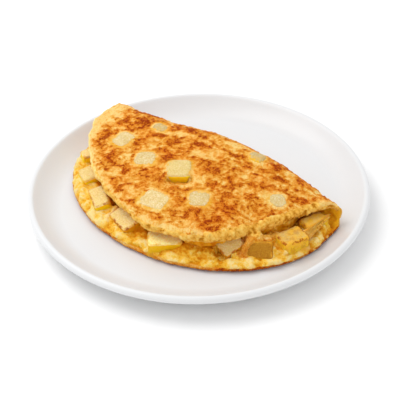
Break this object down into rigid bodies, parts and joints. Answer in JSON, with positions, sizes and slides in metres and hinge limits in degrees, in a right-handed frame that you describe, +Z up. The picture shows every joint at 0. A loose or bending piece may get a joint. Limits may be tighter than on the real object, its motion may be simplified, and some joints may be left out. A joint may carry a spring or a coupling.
{
  "type": "folded omelette",
  "caption": "Thick folded potato omelette, browned outside, with potato dice showing at its open front, resting on a round white coupe plate.",
  "frame": {"origin": "middle of the plate's foot, on the surface that the plate stands on", "axes": "+Z up; X runs along the omelette's fold; the open front with the potato dice faces -Y and the folded back faces +Y"},
  "size_m": [0.2598, 0.2598, 0.0474],
  "materials": {
    "plate": "smooth white gloss glaze",
    "egg": "fried egg skin, creamy yellow with golden-brown blisters, slightly oily",
    "soft_egg": "moist set egg, curdy and yellow",
    "potato": "boiled and lightly fried potato, pale cut faces and translucent yellow sides"
  },
  "bodies": {
    "root": {"plate": "plate", "egg_fold": "egg", "filling": "soft_egg", "potato_front_1": "potato", "potato_front_2": "potato", "potato_front_3": "potato", "potato_front_4": "potato", "potato_front_5": "potato", "potato_front_6": "potato", "potato_front_7": "potato", "potato_front_8": "potato", "potato_front_9": "potato", "potato_top_1": "potato", "potato_top_2": "potato", "potato_top_3": "potato", "potato_top_4": "potato", "potato_top_5": "potato", "potato_top_6": "potato", "potato_top_7": "potato", "potato_top_8": "potato"}
  },
  "joints": []
}
